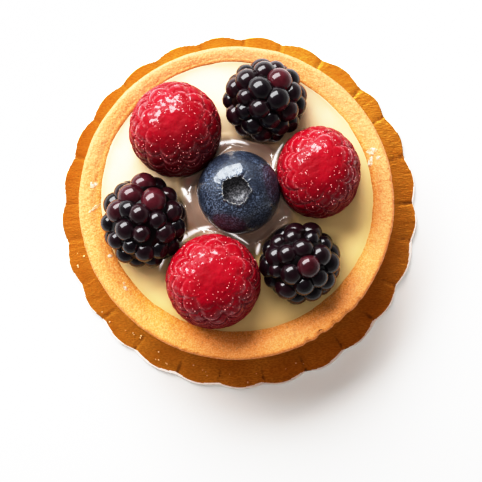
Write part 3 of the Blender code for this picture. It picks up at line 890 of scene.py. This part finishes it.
def makeBlueberry():
    look = blueberryLook
    place = blueberryPlace
    half = (place["half"][0] + place["half"][1]) / 2
    crown, power = look["crownRadius"], look["flatness"]
    points = []
    for k in range(60):         # outer skin, from the foot up to the crown's edge
        angle = math.radians(-90 + 160.5 * k / 59)
        radius = half * abs(math.cos(angle)) ** (2 / power)
        rise = place["up"] if angle > 0 else place["down"]
        height = math.copysign(rise * abs(math.sin(angle)) ** (2 / power), angle)
        points.append((radius, height, 0.0))
    edgeHeight = place["up"] * (1 - (crown / half) ** power) ** (1 / power)
    points = [point for point in points if point[1] < 0 or point[0] > crown + 0.0004]
    points += [(crown + 0.0002, edgeHeight + 0.2 * look["crownRise"], 0.15),
               (crown + 0.00002, edgeHeight + look["crownRise"], 1.0),
               (crown - 0.0001, edgeHeight + look["crownRise"] * 0.8, 0.9)]
    for k in range(1, 20):      # down the crater's wall and over its floor
        share = k / 19
        points.append((crown * (0.95 - 0.95 * share ** 1.6),
                       edgeHeight - look["crownDepth"] * (1 - (1 - share) ** 3.0), 0.0))
    points[0] = (0.0, points[0][1], 0.0)
    points[-1] = (0.0, points[-1][1], 0.0)
    bm, layer = spinProfile(points, look["steps"])
    crownLayer, edgeLayer = addLayers(bm, "crown", "sepalEdge")
    lean = Matrix.Rotation(look["lean"][0], 3, "X") @ Matrix.Rotation(look["lean"][1], 3, "Y")
    for vert in bm.verts:
        reach = math.hypot(vert.co.x, vert.co.y)
        angle = math.atan2(vert.co.y, vert.co.x)
        near = math.exp(-((reach - crown) / 0.0011) ** 2) if vert.co.z > 0 else 0.0
        side = (angle * look["lobes"] / (2 * math.pi)) % 1.0 - 0.5
        lobe = 1 / math.cos(side * 2 * math.pi / look["lobes"]) - 1.09      # a five-sided outline
        jag = noise.noise(Vector((math.cos(angle) * 6, math.sin(angle) * 6, 1.0)))
        jag += 0.5 * noise.noise(Vector((math.cos(angle) * 17, math.sin(angle) * 17, 4.0)))
        pull = 1 + near * (0.55 * lobe + 0.10 * jag)
        vert.co.x *= pull
        vert.co.y *= pull
        if vert.co.z > 0:
            vert.co.z += near * look["crownRise"] * (2.5 * lobe + 0.9 * jag) * min(vert[layer] * 1.5, 1)
        inside = easeStep(crown - reach, -0.00005, 0.0003) if vert.co.z > 0 else 0.0
        vert[crownLayer] = float(inside)
        vert[edgeLayer] = float(max(vert[layer] - 0.35, 0.0) * 1.5) if vert.co.z > 0 else 0.0
        vert.co += vert.normal * 0.00006 * noise.noise(vert.co * 300)
        vert.co = lean @ vert.co + place["centre"]
    return addPiece("blueberryFruit", bm, (makeBlueberryMaterial(),), ["blueberry"])


# glaze that ran onto the crust, and crumbs on the card
smearLook = {
    # place on the crust (metres from the middle), half sizes and turn in degrees
    "spots": ((0.0290, 0.0112, 0.0012, 0.0007, 20), (0.0286, 0.0088, 0.0010, 0.0005, 70),
              (0.0303, 0.0098, 0.0005, 0.0004, 0), (-0.0320, 0.0038, 0.0009, 0.0006, 20),
              (-0.0316, -0.0012, 0.0017, 0.0004, 36), (-0.0284, -0.0118, 0.0006, 0.0004, 30),
              (-0.0249, -0.0189, 0.0006, 0.0004, -40), (-0.0252, -0.0178, 0.0003, 0.0003, 0)),
    "thickness": 0.00010,
    "lumps": 0.55,
}
crumbLook = {
    "count": 26,
    "size": (0.00010, 0.00024),
    "turn": (235, 28),          # degrees: middle of the scatter, and its spread
    "reach": (0.0355, 0.0385),
    "seed": 12,
}


def makeSmearMaterial():
    material, tree, shader, place = newMaterial("driedGlazeGlint")
    cloud = addSpecks(tree, place, 900.0, 0.35, 0.7)
    thin = addSpecks(tree, place, 1500.0, 0.36, 0.62, 3.0)
    # the smears' pale colour is partly the dried glaze and partly a painted highlight
    tone = mixColor(tree, cloud, (0.90, 0.62, 0.36, 1), (0.95, 0.86, 0.72, 1))
    feed(tree, shader, {"Base Color": tone, "Alpha": spread(tree, thin, 0.25, 0.85), "Roughness": 0.3,
                        "Coat Weight": 0.4, "Coat Roughness": 0.08})
    addRelief(tree, shader, place, 900.0, 2600.0, 0.4, 0.2, 0.0002)
    return material


def makeSmears(crust):
    bm = bmesh.new()
    for k, (x, y, halfX, halfY, twist) in enumerate(smearLook["spots"]):
        spot, normal = surfaceBelow(crust, x, y)
        if spot is None:
            continue
        turn = Vector((0, 0, 1)).rotation_difference(normal).to_matrix().to_4x4()
        turn = turn @ Matrix.Rotation(math.radians(twist), 4, "Z")
        shape = Matrix.Diagonal((halfX, halfY, smearLook["thickness"], 1.0))
        made = bmesh.ops.create_icosphere(bm, subdivisions=4, radius=1.0,
                                          matrix=Matrix.Translation(spot) @ turn @ shape)
        for vert in made["verts"]:
            lump = noise.noise(vert.co * 1800 + Vector((k, 0, 0)))
            vert.co += (vert.co - spot) * smearLook["lumps"] * lump
    return addPiece("glazeSmears", bm, (makeSmearMaterial(),))


def makeCrumbMaterial():
    material, tree, shader, place = newMaterial("paleCrumb")
    cloud = addSpecks(tree, place, 1400.0, 0.35, 0.7)
    tone = mixColor(tree, cloud, (0.86, 0.50, 0.18, 1), (0.95, 0.76, 0.48, 1))
    feed(tree, shader, {"Base Color": tone, "Roughness": 0.6})
    addRelief(tree, shader, place, 1300.0, 3400.0, 0.5, 0.3, 0.0002)
    return material


def makeCrumbs(card):
    dice = random.Random(crumbLook["seed"])
    bm = bmesh.new()
    made = 0
    while made < crumbLook["count"]:
        turn = math.radians(dice.gauss(*crumbLook["turn"]))
        reach = dice.uniform(*crumbLook["reach"])
        spot, normal = surfaceBelow(card, reach * math.cos(turn), reach * math.sin(turn))
        if spot is None:
            continue
        made += 1
        size = dice.uniform(*crumbLook["size"])
        shape = Matrix.Diagonal((size, size * dice.uniform(0.6, 1), size * dice.uniform(0.5, 0.8), 1.0))
        ball = bmesh.ops.create_icosphere(bm, subdivisions=2, radius=1.0,
                                          matrix=Matrix.Translation(spot + normal * size * 0.4)
                                          @ Matrix.Rotation(dice.uniform(0, 3), 4, "Z") @ shape)
        for vert in ball["verts"]:
            vert.co += (vert.co - spot) * 0.5 * noise.noise(vert.co * 4000)
    return addPiece("crumbs", bm, (makeCrumbMaterial(),))


card = makeCard()
crust = makeCrust()
cream = makeCream()

brambleSkin = makeBrambleMaterial()
for k, place in enumerate(bramblePlaces):
    makeBramble("bramble_%d" % (k + 1), place, 3 + k, brambleSkin)

raspberrySkin = makeRaspberryMaterial()
raspberries = [makeRaspberry("raspberry_%d" % (k + 1), raspberryPlaces[k], 11 + k, shadeSide, raspberrySkin)
               for k, shadeSide in enumerate(raspberryLook["shadeSides"])]
makeRaspberrySpecks(raspberries)

makeBlueberry()
makeSmears(crust)
makeCrumbs(card)


# floor, light and camera
studio = {
    "wallColor": (1.0, 0.97, 0.94, 1),
    "wallNorth": 0.55,          # brightness of the pale walls all round, at the horizon
    "wallSouth": 0.32,
    "ceiling": 0.09,
    "wallTop": (0.20, 0.70),    # sine of the elevation where the walls fade into the ceiling
    # power, size, distance, azimuth and elevation
    "window": (8.4, (0.63, 0.35), 0.52, 120, 43),
    "softbox": (0.85, (0.50, 0.50), 0.60, 300, 74),
    "floorColor": (0.68, 0.68, 0.68, 1),
    "floorShadeNear": (0.57, 0.565, 0.56, 1),
    "floorFade": (-0.020, -0.075),      # painted shade: the table is painted a little darker between these, towards the front
    "floorGlow": 0.15,
    # the film's response: bright and dark both pulled apart a little
    "filmWhite": 1.5,
    "film": ((0.0, 0.0), (0.05, 0.032), (0.15, 0.125), (0.30, 0.30), (0.50, 0.57), (0.80, 0.88),
             (1.0, 0.96), (1.5, 1.0)),
}


cameraLook = {
    "tilt": math.radians(6),        # from straight above
    "distance": 0.70,
    "target": (0.000314, -0.006528, 0.0),
    "viewWidth": 0.1082,            # what the frame takes in across the target
    "sensor": 36,
}


def makeFloor():
    bm = bmesh.new()
    bmesh.ops.create_grid(bm, x_segments=1, y_segments=1, size=3.0)
    mesh = bpy.data.meshes.new("floor")
    bm.to_mesh(mesh)
    bm.free()
    floor = bpy.data.objects.new("floor", mesh)
    bpy.context.scene.collection.objects.link(floor)
    material, tree, shader, place = newMaterial("paleTable")
    cloud = addSpecks(tree, place, 6.0, 0.3, 0.8)
    tone = mixColor(tree, cloud, studio["floorColor"], (0.69, 0.69, 0.685, 1))
    axes = addNode(tree, "ShaderNodeSeparateXYZ", {"Vector": place})
    near = softRange(tree, axes.outputs["Y"], *studio["floorFade"])
    # painted shade towards the front of the table
    tone = mixColor(tree, near, tone, studio["floorShadeNear"])
    feed(tree, shader, {"Base Color": tone, "Roughness": 0.6, "Emission Color": (1.0, 0.95, 0.91, 1),
                        "Emission Strength": studio["floorGlow"]})
    mesh.materials.append(material)


def makeLights():
    world = bpy.data.worlds.new("studio")
    bpy.context.scene.world = world
    world.use_nodes = True
    tree = world.node_tree
    around = tree.nodes.new("ShaderNodeTexCoord").outputs["Generated"]
    way = addNode(tree, "ShaderNodeSeparateXYZ", {0: around})
    side = softRange(tree, way.outputs["Y"], -0.7, 0.7, studio["wallSouth"], studio["wallNorth"])
    fade = softRange(tree, way.outputs["Z"], *studio["wallTop"], 1.0, 0.0)
    wall = combine(tree, "MULTIPLY", side, fade)
    feed(tree, tree.nodes["Background"], {"Color": studio["wallColor"],
                                          "Strength": combine(tree, "ADD", wall, studio["ceiling"])})
    makeLamp("window", studio["window"], (0.97, 0.99, 1.0))
    softbox = makeLamp("softbox", studio["softbox"], (1.0, 0.98, 0.96))
    softbox.visible_glossy = False      # it fills the shadows and puts no second glint on the fruit
    softbox.visible_camera = False


def makeLamp(name, setting, color):
    power, size, distance, azimuth, elevation = setting
    data = bpy.data.lights.new(name, "AREA")
    data.shape = "RECTANGLE"
    data.size, data.size_y = size
    data.energy = power
    data.color = color
    lamp = bpy.data.objects.new(name, data)
    bpy.context.scene.collection.objects.link(lamp)
    azimuth, elevation = math.radians(azimuth), math.radians(elevation)
    way = Vector((math.cos(elevation) * math.cos(azimuth), math.cos(elevation) * math.sin(azimuth),
                  math.sin(elevation)))
    lamp.location = way * distance + Vector((0, 0, 0.02))
    lamp.rotation_euler = way.to_track_quat("Z", "Y").to_euler()
    return lamp


def makeCamera():
    data = bpy.data.cameras.new("camera")
    camera = bpy.data.objects.new("camera", data)
    bpy.context.scene.collection.objects.link(camera)
    tilt, distance = cameraLook["tilt"], cameraLook["distance"]
    back = Vector((0, -math.sin(tilt), math.cos(tilt)))
    camera.location = Vector(cameraLook["target"]) + back * distance
    camera.rotation_euler = (tilt, 0, 0)
    data.sensor_width = cameraLook["sensor"]
    data.lens = cameraLook["sensor"] * distance / cameraLook["viewWidth"]
    data.clip_start = 0.01
    bpy.context.scene.camera = camera


makeFloor()
makeLights()
makeCamera()

scene = bpy.context.scene
scene.view_settings.view_transform = "Standard"
scene.view_settings.look = "None"
scene.view_settings.exposure = 0.0
scene.view_settings.use_curve_mapping = True
film = scene.view_settings.curve_mapping
film.white_level = [studio["filmWhite"]] * 3
line = film.curves[3]
for dark, bright in studio["film"][1:-1]:
    line.points.new(dark / studio["filmWhite"], bright)
film.update()
